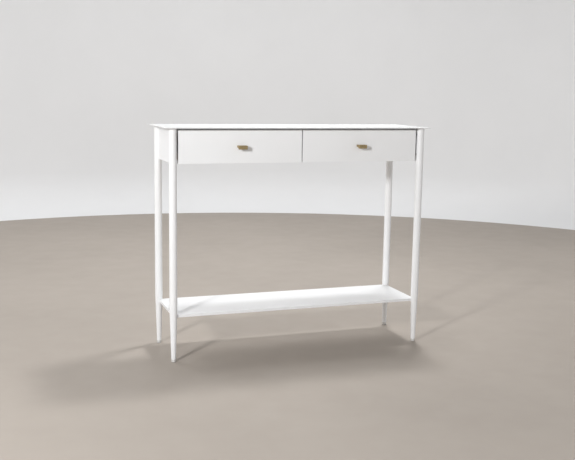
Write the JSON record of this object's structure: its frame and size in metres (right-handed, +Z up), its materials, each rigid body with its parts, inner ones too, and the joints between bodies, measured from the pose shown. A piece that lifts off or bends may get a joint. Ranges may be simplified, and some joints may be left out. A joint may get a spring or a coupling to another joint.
{
  "type": "console table",
  "caption": "Narrow white console table: thin flat top, slim round legs tapering to small glides, shallow drawers with small brass pulls, and a low open shelf.",
  "frame": {"origin": "on the floor, under the middle of the table top", "axes": "+X along the table's width to the right, +Y from the drawers to the back, +Z up"},
  "size_m": [1, 0.3, 0.82],
  "materials": {
    "white_lacquer": "opaque satin white lacquer on wood and fibreboard",
    "white_powder_coat": "fine-textured satin white powder coat",
    "drawer_board": "clear-sealed birch plywood",
    "beech_dowel": "raw turned beech",
    "zinc_steel": "bright zinc plating",
    "runner_steel": "zinc-plated rolled steel",
    "cage_steel": "oiled pressed steel",
    "bearing_steel": "polished hardened steel",
    "antique_brass": "aged brushed brass",
    "glide_nylon": "natural translucent nylon",
    "bumper_silicone": "clear soft silicone"
  },
  "bodies": {
    "table_frame": {"top_plate": "white_powder_coat", "plate_studs": "zinc_steel", "stud_nuts": "zinc_steel", "back_panel": "white_lacquer", "middle_panel": "white_lacquer", "front_rail": "white_lacquer", "rear_rail": "white_lacquer", "case_dowels": "beech_dowel", "leg_screws": "zinc_steel", "shelf": "white_lacquer", "shelf_pins": "zinc_steel", "glide_screws": "zinc_steel", "case_runner_screws": "zinc_steel", "left_side_panel": "white_lacquer", "right_side_panel": "white_lacquer", "front_left_leg": "white_lacquer", "front_right_leg": "white_lacquer", "rear_left_leg": "white_lacquer", "rear_right_leg": "white_lacquer", "front_left_glide": "glide_nylon", "front_right_glide": "glide_nylon", "rear_left_glide": "glide_nylon", "rear_right_glide": "glide_nylon", "left_bay_end_case_runner": "runner_steel", "left_bay_middle_case_runner": "runner_steel", "right_bay_end_case_runner": "runner_steel", "right_bay_middle_case_runner": "runner_steel"},
    "left_drawer": {"left_drawer_front": "white_lacquer", "left_drawer_box_front": "drawer_board", "left_drawer_box_end_side": "drawer_board", "left_drawer_box_middle_side": "drawer_board", "left_drawer_box_back": "drawer_board", "left_drawer_bottom": "drawer_board", "left_drawer_box_dowels": "beech_dowel", "left_drawer_front_screws": "zinc_steel", "left_drawer_bumpers": "bumper_silicone", "left_drawer_pull": "antique_brass", "left_drawer_pull_screws": "zinc_steel", "left_drawer_end_runner": "runner_steel", "left_drawer_middle_runner": "runner_steel", "left_drawer_runner_screws": "zinc_steel"},
    "left_ball_cages": {"left_drawer_ball_cages": "cage_steel", "left_drawer_bearing_balls": "bearing_steel"},
    "right_drawer": {"right_drawer_front": "white_lacquer", "right_drawer_box_front": "drawer_board", "right_drawer_box_end_side": "drawer_board", "right_drawer_box_middle_side": "drawer_board", "right_drawer_box_back": "drawer_board", "right_drawer_bottom": "drawer_board", "right_drawer_box_dowels": "beech_dowel", "right_drawer_front_screws": "zinc_steel", "right_drawer_bumpers": "bumper_silicone", "right_drawer_pull": "antique_brass", "right_drawer_pull_screws": "zinc_steel", "right_drawer_end_runner": "runner_steel", "right_drawer_middle_runner": "runner_steel", "right_drawer_runner_screws": "zinc_steel"},
    "right_ball_cages": {"right_drawer_ball_cages": "cage_steel", "right_drawer_bearing_balls": "bearing_steel"}
  },
  "joints": [
    {"name": "left_drawer_slide", "type": "slide", "parent": "table_frame", "child": "left_drawer", "axis": [0, -1, 0], "range_m": [0, 0.15]},
    {"name": "left_cage_slide", "type": "slide", "parent": "table_frame", "child": "left_ball_cages", "axis": [0, -1, 0], "range_m": [0, 0.075]},
    {"name": "right_drawer_slide", "type": "slide", "parent": "table_frame", "child": "right_drawer", "axis": [0, -1, 0], "range_m": [0, 0.15]},
    {"name": "right_cage_slide", "type": "slide", "parent": "table_frame", "child": "right_ball_cages", "axis": [0, -1, 0], "range_m": [0, 0.075]}
  ],
  "couplings": [
    {"joint": "left_cage_slide", "follows": "left_drawer_slide", "ratio": 0.5},
    {"joint": "right_cage_slide", "follows": "right_drawer_slide", "ratio": 0.5}
  ]
}
